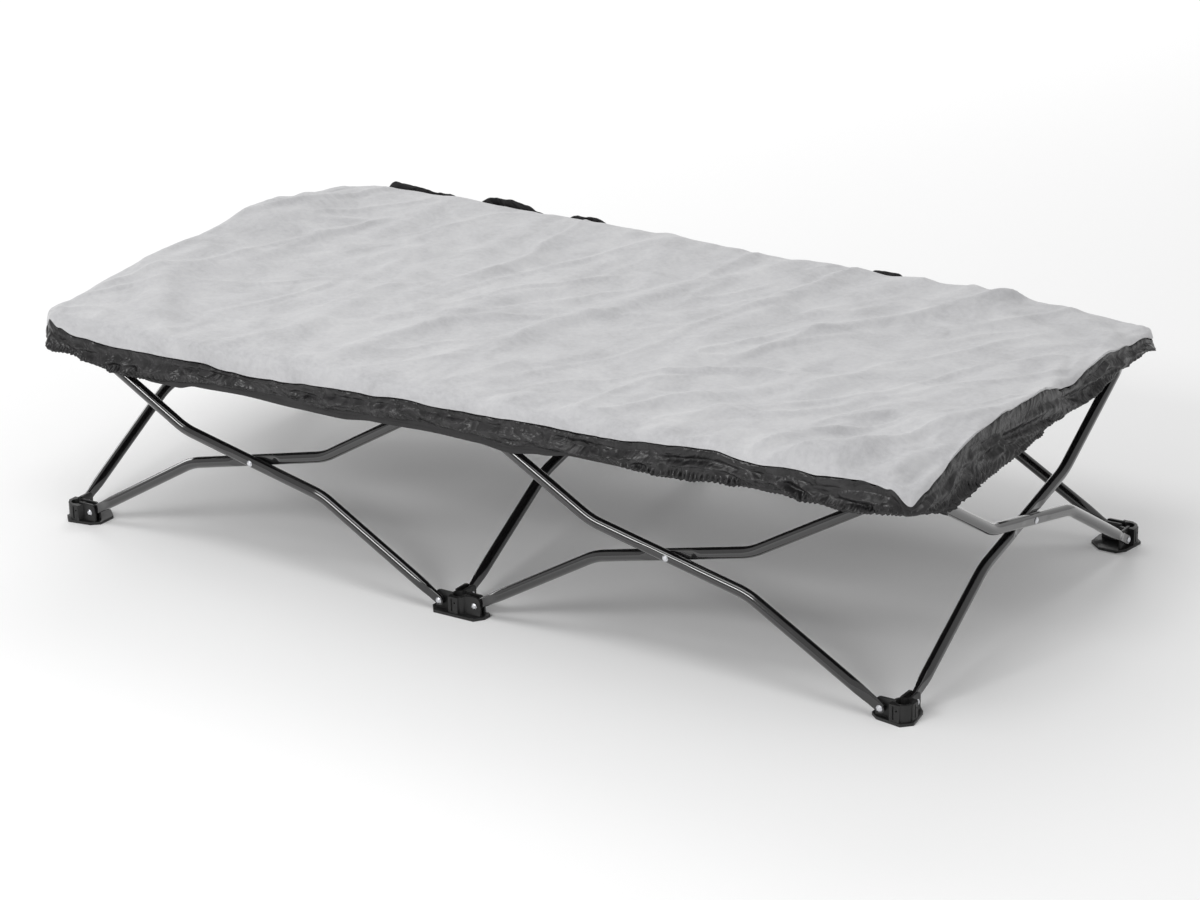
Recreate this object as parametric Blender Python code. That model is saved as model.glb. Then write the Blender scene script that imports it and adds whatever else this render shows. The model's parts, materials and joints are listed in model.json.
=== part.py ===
"""Raised dog bed on a folding frame: seven tube scissors between six feet and six hubs,
a flat deck on the hubs, and a fitted fleece cover with a gathered skirt round its edge.

Metres, +Z up. X runs along the bed, Y across it towards the back.
The origin is on the ground under the middle of the bed.
"""

import math

import bmesh
import bpy
from mathutils import Matrix, Vector

# Frame
BAY = 0.58  # from one foot's socket to the next, along the bed and across it
RISE = 0.24  # from the lower rivet of a tube to its upper rivet
PIVOT_OUT = 0.023  # from a socket's axis to the rivet beside it
PIVOT_HEIGHT = 0.0145  # rivet above the underside of the bracket

# Tubes
TUBE_RADIUS = 0.007
TUBE_SIDES = 10
BEND_OUT = 0.1013  # from the centre rivet to the bend, level
BEND_DROP = 0.0233  # from the centre rivet to the bend, upright
BEND_RADIUS = 0.085
TUBE_SHIFT = 0.0044  # from the plane where two tubes meet to a tube's axis
DENT_FULL = 0.026  # the flat where two tubes cross, from the rivet outwards
DENT_END = 0.042
RIVET_FLAT = 0.0006  # depth of the flat under a centre rivet's head
EYE_RADIUS = 0.006
EYE_THICKNESS = 0.0058
EYE_FLAT = 0.013  # from the end rivet to where the pressed end starts to swell
EYE_TAPER = 0.042  # from the end rivet to the full round tube

# Brackets: the feet, and the same mouldings turned over as hubs
PLATE_THICKNESS = 0.0035
BOSS_HEIGHT = 0.0235
BOSS_RADIUS = 0.0115
BOSS_FACE = 0.0129  # from the socket's axis to the flat outer face
SOCKET_RADIUS = 0.00825
SOCKET_FLOOR = 0.0045
EAR_THICKNESS = 0.0028
EAR_HEIGHT = 0.0255
EAR_REACH = 0.008  # past the rivet
EAR_CORNER = 0.006
SIDE_SHIFT = 0.0038  # from a socket's axis out to the plane where the side tubes meet
PLATE_LIP = 0.006  # how far the plate runs past the ears' ends
PLATE_MARGIN = 0.0032  # how far it runs past the inner ears
GROOVE_WIDTH = 0.002
GROOVE_DEPTH = 0.0012
PIN_HOLE_RADIUS = 0.0012
PIN_HOLE_HEIGHT = 0.0165

# Rivets
RIVET_RADIUS = 0.0019
RIVET_HEAD_RADIUS = 0.004
RIVET_HEAD_HEIGHT = 0.0018
RIVET_TAIL_RADIUS = 0.003
RIVET_TAIL_HEIGHT = 0.001
RIVET_PLAY = 0.0003
RIVET_SIDES = 8

# Cloth
GAP = 0.0003  # between touching pieces
DECK_THICKNESS = 0.002
VALANCE_THICKNESS = 0.0012
VALANCE_DEPTH = 0.051
SKIRT_THICKNESS = 0.0015
SKIRT_DEPTH = 0.046
SKIRT_BULGE = 0.0045
CLOTH_CLEARANCE = 0.0008  # from the side tubes to the valance
FLEECE_OVERHANG = 0.0015  # past the skirt's face
FLEECE_EDGE = 0.002
FLEECE_CROWN = 0.0175
FLEECE_ROLL = 0.02  # how far in from its edge the fleece rounds up
FLEECE_CORNER = 0.03
WRINKLE_HEIGHT = 0.0016
FOLD_LINE = 0.058  # from the hubs' line in to where the cloth bends down when the frame folds

COLOURS = {
    "tube_black": ((0.018, 0.017, 0.018), 0.28, 0.0),
    "bracket_black": ((0.022, 0.022, 0.023), 0.5, 0.0),
    "rivet_zinc": ((0.78, 0.79, 0.82), 0.25, 1.0),
    "deck_black": ((0.03, 0.029, 0.03), 0.75, 0.0),
    "skirt_black": ((0.04, 0.039, 0.04), 0.55, 0.0),
    "fleece_grey": ((0.56, 0.56, 0.575), 0.95, 0.0),
}

# Worked out from the sizes above
HALF_RUN = BAY / 2 - PIVOT_OUT
HALF_RISE = RISE / 2
CENTRE_HEIGHT = PIVOT_HEIGHT + HALF_RISE
HUB_TOP = 2 * CENTRE_HEIGHT
HOLE_RADIUS = RIVET_RADIUS + RIVET_PLAY
EYE_INNER = EAR_THICKNESS / 2 + GAP
EYE_OUTER = EYE_INNER + EYE_THICKNESS
BACK_EAR = EYE_OUTER + GAP  # from the meeting plane to the second ear
TUBE_FACE = TUBE_SHIFT + TUBE_RADIUS
PLATE_END = PIVOT_OUT + EAR_REACH + PLATE_LIP
PLATE_INSIDE = BACK_EAR + EAR_THICKNESS - SIDE_SHIFT + PLATE_MARGIN
PLATE_CORNER = BOSS_FACE + 0.0026
VALANCE_IN = SIDE_SHIFT + TUBE_FACE + CLOTH_CLEARANCE
SKIRT_IN = VALANCE_IN + VALANCE_THICKNESS + GAP
SKIRT_OUT = SKIRT_IN + SKIRT_THICKNESS
DECK_BOTTOM = HUB_TOP + GAP
DECK_TOP = DECK_BOTTOM + DECK_THICKNESS
FLEECE_BOTTOM = DECK_TOP + GAP
FOLD_AT = BAY / 2 - FOLD_LINE

FRONT = -math.pi / 2
QUARTER = math.pi / 2


def clear_scene():
    for obj in list(bpy.data.objects):
        bpy.data.objects.remove(obj, do_unlink=True)


def material(name):
    colour, roughness, metallic = COLOURS[name]
    found = bpy.data.materials.get(name)
    if found:
        return found
    made = bpy.data.materials.new(name)
    made.use_nodes = True
    shader = made.node_tree.nodes["Principled BSDF"]
    shader.inputs["Base Color"].default_value = (*colour, 1.0)
    shader.inputs["Roughness"].default_value = roughness
    shader.inputs["Metallic"].default_value = metallic
    return made


def mesh_from(bm, name, smooth_under=None):
    """Closes off a bmesh as a mesh; faces meeting under the given angle are shaded as one."""
    bmesh.ops.recalc_face_normals(bm, faces=bm.faces)
    mesh = bpy.data.meshes.new(name)
    bm.to_mesh(mesh)
    bm.free()
    if smooth_under is not None:
        mesh.shade_smooth()
        mesh.set_sharp_from_angle(angle=smooth_under)
    return mesh


def place(name, mesh, finish, matrix=None):
    obj = bpy.data.objects.new(name, mesh)
    bpy.context.scene.collection.objects.link(obj)
    if matrix is not None:
        obj.matrix_world = matrix
    if not mesh.materials:
        mesh.materials.append(material(finish))
    return obj


def prism(outline, low, high, to_world=None):
    """A flat outline of (x, y) points pushed up from low to high."""
    bm = bmesh.new()
    ring = [bm.verts.new((x, y, low)) for x, y in outline]
    face = bm.faces.new(ring)
    pushed = bmesh.ops.extrude_face_region(bm, geom=[face])
    moved = [v for v in pushed["geom"] if isinstance(v, bmesh.types.BMVert)]
    bmesh.ops.translate(bm, verts=moved, vec=(0, 0, high - low))
    if to_world is not None:
        bmesh.ops.transform(bm, matrix=to_world, verts=bm.verts)
    return mesh_from(bm, "prism")


def rod(radius, low, high, sides, to_world=None):
    """A round bar along Z."""
    bm = bmesh.new()
    length = high - low
    middle = Matrix.Translation((0, 0, (low + high) / 2))
    bmesh.ops.create_cone(
        bm, cap_ends=True, segments=sides, radius1=radius, radius2=radius, depth=length, matrix=middle
    )
    if to_world is not None:
        bmesh.ops.transform(bm, matrix=to_world, verts=bm.verts)
    return mesh_from(bm, "rod")


def combined(base, added=(), cut=(), smooth_under=None):
    """One mesh: the base with meshes added to it, then meshes cut from it."""
    owner = bpy.data.objects.new("blank", base)
    bpy.context.scene.collection.objects.link(owner)
    helpers = []
    for operation, tools in (("UNION", added), ("DIFFERENCE", cut)):
        for tool in tools:
            helper = bpy.data.objects.new("tool", tool)
            bpy.context.scene.collection.objects.link(helper)
            helpers.append(helper)
            step = owner.modifiers.new(operation.title(), "BOOLEAN")
            step.operation = operation
            step.solver = "EXACT"
            step.object = helper
    graph = bpy.context.evaluated_depsgraph_get()
    graph.update()
    result = bpy.data.meshes.new_from_object(owner.evaluated_get(graph))
    for helper in [owner, *helpers]:
        bpy.data.objects.remove(helper, do_unlink=True)
    if smooth_under is not None:
        result.shade_smooth()
        result.set_sharp_from_angle(angle=smooth_under)
    return result


def smooth_step(t):
    t = min(max(t, 0.0), 1.0)
    return t * t * (3 - 2 * t)


def mix(a, b, t):
    return a + (b - a) * t


# Tubes


def tube_half_path():
    """From the centre rivet to the upper end rivet: (distance, point, direction) as a function."""
    bend = Vector((-BEND_OUT, BEND_DROP))
    end = Vector((-HALF_RUN, HALF_RISE))
    inner = bend.normalized()
    outer = (end - bend).normalized()
    turn = inner.angle(outer)
    trim = BEND_RADIUS * math.tan(turn / 2)
    start = bend.length - trim
    arc = BEND_RADIUS * turn
    side = 1.0 if inner.x * outer.y - inner.y * outer.x > 0 else -1.0
    arc_start = inner * start
    total = start + arc + (end - bend).length - trim

    def at(distance):
        if distance <= start:
            return inner * distance, inner
        if distance <= start + arc:
            swept = side * (distance - start) / BEND_RADIUS
            across = Vector((-inner.y, inner.x)) * side
            direction = Matrix.Rotation(swept, 2) @ inner
            centre = arc_start + across * BEND_RADIUS
            return centre - Matrix.Rotation(swept, 2) @ across * BEND_RADIUS, direction
        rest = distance - total
        return end + outer * rest, outer

    return at, start, start + arc, total


def tube_ring(bm, point, along, half_width, inner_face, outer_face):
    """One ring of the tube, pressed flat wherever it would pass its inner or outer face."""
    across = Vector((-along.y, along.x))
    ring = []
    for k in range(TUBE_SIDES):
        angle = 2 * math.pi * (k + 0.5) / TUBE_SIDES
        wide = half_width * math.cos(angle)
        out = TUBE_SHIFT + TUBE_RADIUS * math.sin(angle)
        out = min(max(out, inner_face), outer_face)
        place_at = point + across * wide
        ring.append(bm.verts.new((place_at.x, -out, place_at.y)))
    return ring


def tube_mesh():
    """A tube in its own plane: upper end at -X, centre rivet at the origin, body on the -Y side."""
    at, bend_start, bend_end, end = tube_half_path()
    round_inner = TUBE_SHIFT - TUBE_RADIUS
    dent_inner = GAP / 2
    stations = [0.0, DENT_FULL, DENT_END, bend_start, bend_end]
    stations += [end - EYE_TAPER, end - (EYE_TAPER + EYE_FLAT) / 2, end - EYE_FLAT]
    stations += [end, end + 0.6 * EYE_RADIUS, end + 0.95 * EYE_RADIUS]
    rings = []
    for distance in stations:
        point, along = at(distance)
        dent = 1 - smooth_step((distance - DENT_FULL) / (DENT_END - DENT_FULL))
        press = smooth_step((distance - (end - EYE_TAPER)) / (EYE_TAPER - EYE_FLAT))
        half_width = mix(TUBE_RADIUS, EYE_RADIUS, press)
        if distance > end:
            half_width = math.sqrt(EYE_RADIUS**2 - (distance - end) ** 2)
        inner_face = mix(mix(round_inner, dent_inner, dent), EYE_INNER, press)
        outer_face = mix(TUBE_FACE - RIVET_FLAT * dent, EYE_OUTER, press)
        rings.append((point, along, half_width, inner_face, outer_face))
    bm = bmesh.new()
    loops = []
    for point, along, *faces in reversed(rings):
        loops.append(tube_ring(bm, point, -along, *faces))
    for point, along, *faces in rings[1:]:
        loops.append(tube_ring(bm, -point, -along, *faces))
    edges = []
    for ring in loops:
        edges.append([bm.edges.new((a, b)) for a, b in zip(ring, ring[1:] + ring[:1])])
    for before, after in zip(edges, edges[1:]):
        bmesh.ops.bridge_loops(bm, edges=before + after)
    bm.faces.new(loops[0])
    bm.faces.new(loops[-1])
    body = mesh_from(bm, "tube_body")
    holes = []
    for x, z in ((-HALF_RUN, HALF_RISE), (0.0, 0.0), (HALF_RUN, -HALF_RISE)):
        spot = Matrix.Translation((x, 0, z)) @ Matrix.Rotation(QUARTER, 4, "X")
        holes.append(rod(HOLE_RADIUS, -0.02, 0.02, RIVET_SIDES, spot))
    return combined(body, cut=holes, smooth_under=math.radians(50))


# Rivets


def rivet_mesh(head_seat, tail_seat, name, sides=RIVET_SIDES):
    """A domed rivet along Y, head towards -Y; the seats are the faces that it holds together."""
    profile = [
        (0.0, head_seat - RIVET_HEAD_HEIGHT),
        (0.62 * RIVET_HEAD_RADIUS, head_seat - 0.78 * RIVET_HEAD_HEIGHT),
        (RIVET_HEAD_RADIUS, head_seat - 0.1 * RIVET_HEAD_HEIGHT),
        (RIVET_HEAD_RADIUS, head_seat),
        (RIVET_RADIUS, head_seat),
        (RIVET_RADIUS, tail_seat),
        (RIVET_TAIL_RADIUS, tail_seat),
        (0.75 * RIVET_TAIL_RADIUS, tail_seat + RIVET_TAIL_HEIGHT),
        (0.0, tail_seat + RIVET_TAIL_HEIGHT),
    ]
    bm = bmesh.new()
    points = [bm.verts.new((r, y, 0)) for r, y in profile]
    edges = [bm.edges.new(pair) for pair in zip(points, points[1:])]
    bmesh.ops.spin(
        bm, geom=points + edges, cent=(0, 0, 0), axis=(0, 1, 0), angle=2 * math.pi,
        steps=sides, use_merge=True, use_duplicate=False,
    )
    bmesh.ops.remove_doubles(bm, verts=bm.verts, dist=1e-6)
    return mesh_from(bm, name, smooth_under=math.radians(40))


# Brackets


def arm_frame(towards, outwards):
    """Matrix whose X runs along an arm and whose -Y points out of the bed's side."""
    x = Vector((math.cos(towards), math.sin(towards), 0))
    y = -Vector((math.cos(outwards), math.sin(outwards), 0))
    rows = Matrix((x, y, (0, 0, 1))).transposed()
    return rows.to_4x4()


def ear_mesh(near, far, frame):
    """One upright ear of an arm, between two distances out from the socket's axis."""
    end = PIVOT_OUT + EAR_REACH
    low = PLATE_THICKNESS / 2
    outline = [(BOSS_RADIUS / 2, low), (end, low)]
    for step in range(4):
        turn = QUARTER * step / 3
        outline.append(
            (
                end - EAR_CORNER * (1 - math.cos(turn)),
                EAR_HEIGHT - EAR_CORNER * (1 - math.sin(turn)),
            )
        )
    outline.append((BOSS_RADIUS / 2, EAR_HEIGHT))
    upright = Matrix.Rotation(QUARTER, 4, "X")
    return prism(outline, near, far, frame @ upright)


def rivet_for(kind, shift, fused):
    """The rivet of an arm, in the arm's frame, whose head side is out of the bed."""
    play = 0.0 if fused else GAP
    if kind == "outer":
        head = -(shift + EYE_OUTER + GAP)
        tail = -(shift - EAR_THICKNESS / 2) + play
    else:
        head = -(shift + EAR_THICKNESS / 2) - play
        tail = -(shift - BACK_EAR - EAR_THICKNESS) + play
    if fused:
        tail -= EAR_THICKNESS / 4
        head += EAR_THICKNESS / 4 if kind == "inner" else 0.0
    return rivet_mesh(head, tail, f"rivet_{kind}")


def mirrored(points):
    """The same outline points seen from a corner bracket's other arm."""
    return [(-y, -x) for x, y in reversed(points)]


def corner_plate():
    """Arms towards -X and +Y, with the bed's corner at +X -Y."""
    outside = [
        (-PLATE_END, -SIDE_SHIFT / 2),
        (-PLATE_END + 0.010, -BOSS_FACE + 0.0024),
        (0.0044, -PLATE_CORNER),
    ]
    inside = [
        (-PLATE_INSIDE - 0.004, PLATE_INSIDE),
        (-PLATE_END + 0.004, PLATE_INSIDE),
        (-PLATE_END, PLATE_INSIDE - 0.003),
    ]
    return outside + mirrored(outside) + mirrored(inside) + inside


def middle_plate():
    """Arms towards -X, +X and +Y, with the bed's edge at -Y."""
    half = BACK_EAR + EAR_THICKNESS + PLATE_MARGIN
    narrow = EAR_THICKNESS / 2 + PLATE_MARGIN
    right = [
        (PLATE_END - 0.009, -PLATE_CORNER),
        (PLATE_END, -SIDE_SHIFT),
        (PLATE_END, PLATE_INSIDE - 0.003),
        (PLATE_END - 0.004, PLATE_INSIDE),
    ]
    back = [
        (narrow, PLATE_INSIDE),
        (narrow, PLATE_END - 0.003),
        (narrow - 0.002, PLATE_END),
        (0.003 - half, PLATE_END),
        (-half, PLATE_END - 0.003),
        (-half, PLATE_INSIDE),
    ]
    left = [(-x, y) for x, y in reversed(right)]
    return right + back + left


def boss_face(angle, left, right):
    """The square shoulder of the boss behind one outer face, with its groove and pin hole."""
    frame = Matrix.Rotation(angle - FRONT, 4, "Z")
    outline = [(left, -BOSS_FACE), (right, -BOSS_FACE), (right + 0.004, 0), (left - 0.001, 0)]
    block = prism(outline, PLATE_THICKNESS / 2, BOSS_HEIGHT, frame)
    groove_at = left + 2 * GROOVE_WIDTH
    slot = [
        (groove_at, -BOSS_FACE - GROOVE_DEPTH),
        (groove_at + GROOVE_WIDTH, -BOSS_FACE - GROOVE_DEPTH),
        (groove_at + GROOVE_WIDTH, -BOSS_FACE + GROOVE_DEPTH),
        (groove_at, -BOSS_FACE + GROOVE_DEPTH),
    ]
    groove = prism(slot, PLATE_THICKNESS + GROOVE_WIDTH, BOSS_HEIGHT - GROOVE_WIDTH, frame)
    lift = Matrix.Translation((groove_at + 2.4 * GROOVE_WIDTH, 0, PIN_HOLE_HEIGHT))
    pin = rod(PIN_HOLE_RADIUS, 0, 2 * BOSS_FACE, 6, frame @ lift @ Matrix.Rotation(QUARTER, 4, "X"))
    return block, [groove, pin]


CORNER_ARMS = (
    ("side", math.pi, FRONT, "outer", SIDE_SHIFT),
    ("end", QUARTER, 0.0, "inner", SIDE_SHIFT),
)
MIDDLE_ARMS = (
    ("near", math.pi, FRONT, "outer", SIDE_SHIFT),
    ("far", 0.0, FRONT, "inner", SIDE_SHIFT),
    ("cross", QUARTER, 0.0, "inner", 0.0),
)


def bracket_mesh(arms, plate, faces, fused_rivets):
    """A moulded bracket standing on its plate: socket boss, ears and rivet holes."""
    base = prism(plate, 0, PLATE_THICKNESS)
    added = [rod(BOSS_RADIUS, PLATE_THICKNESS / 2, BOSS_HEIGHT, 16)]
    cut = [rod(SOCKET_RADIUS, SOCKET_FLOOR, BOSS_HEIGHT + 0.01, 16)]
    for angle, left, right in faces:
        block, cuts = boss_face(angle, left, right)
        added.append(block)
        cut += cuts
    for _, towards, outwards, kind, shift in arms:
        frame = arm_frame(towards, outwards)
        half = EAR_THICKNESS / 2
        added.append(ear_mesh(shift - half, shift + half, frame))
        if kind == "inner":
            added.append(ear_mesh(shift - BACK_EAR - EAR_THICKNESS, shift - BACK_EAR, frame))
        spot = Matrix.Translation((PIVOT_OUT, 0, PIVOT_HEIGHT))
        if not fused_rivets:
            turned = frame @ spot @ Matrix.Rotation(QUARTER, 4, "X")
            cut.append(rod(HOLE_RADIUS, -0.02, 0.02, RIVET_SIDES, turned))
    body = combined(base, added=added, cut=cut)
    if fused_rivets:
        pins = []
        for _, towards, outwards, kind, shift in arms:
            pin = rivet_for(kind, shift, fused=True)
            pin.transform(arm_frame(towards, outwards) @ Matrix.Translation((PIVOT_OUT, 0, PIVOT_HEIGHT)))
            pins.append(pin)
        body = combined(body, added=pins)
    body.shade_smooth()
    body.set_sharp_from_angle(angle=math.radians(35))
    return body


# Where everything stands

HALF = BAY / 2
CORNER_SITES = (
    ("front_right", BAY, -HALF, 0.0),
    ("back_right", BAY, HALF, QUARTER),
    ("back_left", -BAY, HALF, math.pi),
    ("front_left", -BAY, -HALF, -QUARTER),
)
MIDDLE_SITES = (
    ("front_middle", 0.0, -HALF, 0.0),
    ("back_middle", 0.0, HALF, math.pi),
)
SIDE = HALF + SIDE_SHIFT
END = BAY + SIDE_SHIFT
SCISSOR_SITES = (
    ("front_left", -HALF, -SIDE, 0.0),
    ("front_right", HALF, -SIDE, 0.0),
    ("right_end", END, 0.0, QUARTER),
    ("back_right", HALF, SIDE, math.pi),
    ("back_left", -HALF, SIDE, math.pi),
    ("left_end", -END, 0.0, -QUARTER),
    ("middle", 0.0, 0.0, QUARTER),
)


def build_brackets():
    corner_faces = ((FRONT, -0.0105, 0.0015), (0.0, -0.0015, 0.0105))
    middle_faces = ((FRONT, -0.0085, 0.0045),)
    turned_over = {
        "corner": Matrix.Rotation(math.pi, 4, Vector((-1, 1, 0)).normalized()),
        "middle": Matrix.Rotation(math.pi, 4, "Y"),
    }
    families = (
        ("corner", CORNER_ARMS, corner_plate(), corner_faces, CORNER_SITES),
        ("middle", MIDDLE_ARMS, middle_plate(), middle_faces, MIDDLE_SITES),
    )
    for family, arms, plate, faces, sites in families:
        foot = bracket_mesh(arms, plate, faces, fused_rivets=False)
        hub = bracket_mesh(arms, plate, faces, fused_rivets=True)
        rivets = {arm[0]: rivet_for(arm[3], arm[4], fused=False) for arm in arms}
        for site, x, y, turn in sites:
            stand = Matrix.Translation((x, y, 0)) @ Matrix.Rotation(turn, 4, "Z")
            place(f"foot_{site}", foot, "bracket_black", stand)
            lift = Matrix.Translation((x, y, HUB_TOP)) @ Matrix.Rotation(turn, 4, "Z")
            place(f"hub_{site}", hub, "bracket_black", lift @ turned_over[family])
            for arm, towards, outwards, _, _ in arms:
                spot = Matrix.Translation((PIVOT_OUT, 0, PIVOT_HEIGHT))
                frame = stand @ arm_frame(towards, outwards) @ spot
                place(f"rivet_foot_{site}_{arm}", rivets[arm], "rivet_zinc", frame)


def build_scissors():
    tube = tube_mesh()
    seat = TUBE_FACE - RIVET_FLAT + GAP
    rivet = rivet_mesh(-seat, seat, "rivet_centre")
    for site, x, y, turn in SCISSOR_SITES:
        spot = Matrix.Translation((x, y, CENTRE_HEIGHT))
        outer = spot @ Matrix.Rotation(turn, 4, "Z")
        inner = spot @ Matrix.Rotation(turn + math.pi, 4, "Z")
        place(f"tube_{site}_outer", tube, "tube_black", outer)
        place(f"tube_{site}_inner", tube, "tube_black", inner)
        place(f"rivet_centre_{site}", rivet, "rivet_zinc", outer)


# Cloth


def corner_arc(x, y, radius, start, steps):
    """Points round a corner of the bed, from a start angle through a quarter turn."""
    points = []
    for step in range(steps + 1):
        angle = start + QUARTER * step / steps
        points.append((x + radius * math.cos(angle), y + radius * math.sin(angle)))
    return points


def build_deck():
    """The taut panel: the edges that stay on the hubs, each with its hemmed strip (the valance),
    and the two halves that drop between the hubs when the frame folds.
    """
    radius = VALANCE_IN + VALANCE_THICKNESS
    near = HALF + VALANCE_IN
    fold = FOLD_AT + GAP / 2
    end = BAY + radius
    arcs = corner_arc(-BAY, -HALF, radius, math.pi, 6) + corner_arc(BAY, -HALF, radius, -QUARTER, 6)
    for name, side in (("front", -1), ("back", 1)):
        edge = [(-side * x, -side * y) for x, y in [*arcs, (end, -fold), (-end, -fold)]]
        strip = [(-BAY, side * near), (BAY, side * near), (BAY, side * (HALF + radius))]
        strip.append((-BAY, side * (HALF + radius)))
        valance = prism(strip, DECK_BOTTOM - VALANCE_DEPTH, (DECK_BOTTOM + DECK_TOP) / 2)
        panel = prism(edge, DECK_BOTTOM, DECK_TOP)
        place(f"deck_{name}_edge", combined(panel, added=[valance]), "deck_black")
        low = side * GAP / 2
        high = side * (FOLD_AT - GAP / 2)
        half = [(-end, low), (end, low), (end, high), (-end, high)]
        place(f"deck_{name}_half", prism(half, DECK_BOTTOM, DECK_TOP), "deck_black")


def perimeter_point(side_length, other_half, distance, reach):
    """A point and outward direction on one side of the bed, half of each corner included.

    The side lies along X at -Y; distance runs from the middle of one corner to the other.
    """
    corner = reach * QUARTER / 2
    half = side_length / 2
    if distance < corner:
        angle = FRONT - QUARTER / 2 + distance / reach
        centre = Vector((-half, -other_half))
    elif distance > corner + side_length:
        angle = FRONT + (distance - corner - side_length) / reach
        centre = Vector((half, -other_half))
    else:
        return Vector((distance - corner - half, -other_half - reach)), Vector((0, -1))
    out = Vector((math.cos(angle), math.sin(angle)))
    return centre + out * reach, out


def fold_pattern(distance, total, phase):
    """How far the skirt's folds stand out, from 0 to 1, tighter towards the ends of a side."""
    long_wave = math.sin(distance / 0.052 + phase)
    short_wave = math.sin(distance / 0.019 + 2.1 * phase)
    to_end = min(distance, total - distance) / 0.12
    gather = 1 - smooth_step(to_end)
    return 0.5 + 0.28 * long_wave + (0.1 + 0.12 * gather) * short_wave


def skirt_band(name, side_length, other_half, turn, columns, phase):
    """One side of the skirt: a thin band with folds, drawn in at its seam and at its hem."""
    reach = SKIRT_OUT
    corner = reach * QUARTER / 2
    total = side_length + 2 * corner
    top = DECK_TOP
    stops = [mix(GAP / 2, corner, step / 3) for step in range(3)]
    stops += [mix(corner, total - corner, step / columns) for step in range(columns + 1)]
    stops += [mix(total - corner, total - GAP / 2, step / 3) for step in (1, 2, 3)]
    rows = ((0.0, 0.0), (0.32, 0.85), (0.74, 1.0), (1.0, 0.12))
    bm = bmesh.new()
    loops = []
    for distance in stops:
        point, out = perimeter_point(side_length, other_half, distance, reach)
        stand = SKIRT_BULGE * fold_pattern(distance, total, phase)
        outer = []
        inner = []
        for drop, bulge in rows:
            swell = out * (stand * bulge)
            height = top - SKIRT_DEPTH * drop
            face = point + swell
            back = point + swell - out * SKIRT_THICKNESS
            outer.append(bm.verts.new((face.x, face.y, height)))
            inner.append(bm.verts.new((back.x, back.y, height)))
        ring = outer + inner[::-1]
        loops.append(ring)
    edges = []
    for ring in loops:
        edges.append([bm.edges.new((a, b)) for a, b in zip(ring, ring[1:] + ring[:1])])
    for before, after in zip(edges, edges[1:]):
        bmesh.ops.bridge_loops(bm, edges=before + after)
    bm.faces.new(loops[0])
    bm.faces.new(loops[-1])
    bmesh.ops.transform(bm, matrix=Matrix.Rotation(turn, 4, "Z"), verts=bm.verts)
    mesh = mesh_from(bm, name, smooth_under=math.radians(60))
    place(name, mesh, "skirt_black")


def build_skirt():
    length = 2 * BAY
    skirt_band("skirt_front", length, HALF, 0.0, 44, 0.4)
    skirt_band("skirt_right", BAY, BAY, QUARTER, 26, 1.7)
    skirt_band("skirt_back", length, HALF, math.pi, 44, 0.4)
    skirt_band("skirt_left", BAY, BAY, -QUARTER, 26, 1.7)


def fleece_height(x, y, edge_distance):
    """Top of the fleece: a low crown, rolled down at the edge, with long slanting wrinkles."""
    roll = 1 - (1 - min(edge_distance / FLEECE_ROLL, 1.0)) ** 2
    long_wrinkle = math.sin(31.0 * x + 22.0 * y)
    cross_wrinkle = math.sin(14.0 * x - 27.0 * y + 1.3)
    puff = FLEECE_CROWN + WRINKLE_HEIGHT * (long_wrinkle + 0.7 * cross_wrinkle - 0.6)
    return FLEECE_BOTTOM + FLEECE_EDGE + (puff - FLEECE_EDGE) * math.sqrt(max(roll, 0.0))


def fleece_piece(name, side, near, far, rows):
    """Part of the fleece between two lines along the bed, on its front (-1) or back (+1) side."""
    reach = SKIRT_OUT + FLEECE_OVERHANG
    half_x = BAY + reach
    half_y = HALF + reach
    across = [0.0, 0.008, 0.024, 0.06]
    across += [0.06 + 0.44 * step / 8 for step in range(1, 9)]
    across += [1 - share for share in reversed(across[:-1])]
    bm = bmesh.new()
    grid = []
    for row in rows:
        y = mix(near, far, row)
        over = max(y - (half_y - FLEECE_CORNER), 0.0)
        pull = FLEECE_CORNER - math.sqrt(max(FLEECE_CORNER**2 - over**2, 0.0))
        width = half_x - pull
        line = []
        for share in across:
            x = mix(-width, width, share)
            edge = min(half_y - y, width - abs(x))
            height = fleece_height(x, side * y, edge)
            line.append(bm.verts.new((x, side * y, height)))
        grid.append(line)
    for lower, upper in zip(grid, grid[1:]):
        for k in range(len(lower) - 1):
            bm.faces.new((lower[k], lower[k + 1], upper[k + 1], upper[k]))
    rim = [edge for edge in bm.edges if edge.is_boundary]
    dropped = bmesh.ops.extrude_edge_only(bm, edges=rim)
    low = [v for v in dropped["geom"] if isinstance(v, bmesh.types.BMVert)]
    for vert in low:
        vert.co.z = FLEECE_BOTTOM
    base = [e for e in dropped["geom"] if isinstance(e, bmesh.types.BMEdge)]
    bmesh.ops.contextual_create(bm, geom=base)
    place(name, mesh_from(bm, name, smooth_under=math.radians(50)), "fleece_grey")


def build_fleece():
    """The fleece top, in an edge strip and a half on each side, like the deck under it."""
    edge = HALF + SKIRT_OUT + FLEECE_OVERHANG
    rim_rows = [0.0, 0.3, 0.55, 0.74, 0.9, 1.0]
    for name, side in (("front", -1), ("back", 1)):
        fleece_piece(f"fleece_{name}_edge", side, FOLD_AT + GAP / 2, edge, rim_rows)
        inner_rows = [step / 4 for step in range(5)]
        fleece_piece(f"fleece_{name}_half", side, GAP / 2, FOLD_AT - GAP / 2, inner_rows)


def main():
    clear_scene()
    build_brackets()
    build_scissors()
    build_deck()
    build_skirt()
    build_fleece()


main()
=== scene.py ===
"""Studio picture of a raised dog bed: folding tube frame, moulded feet, skirt and fleece top."""

import json
import math
import bmesh
import bpy
from mathutils import Matrix, Vector, noise


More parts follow.
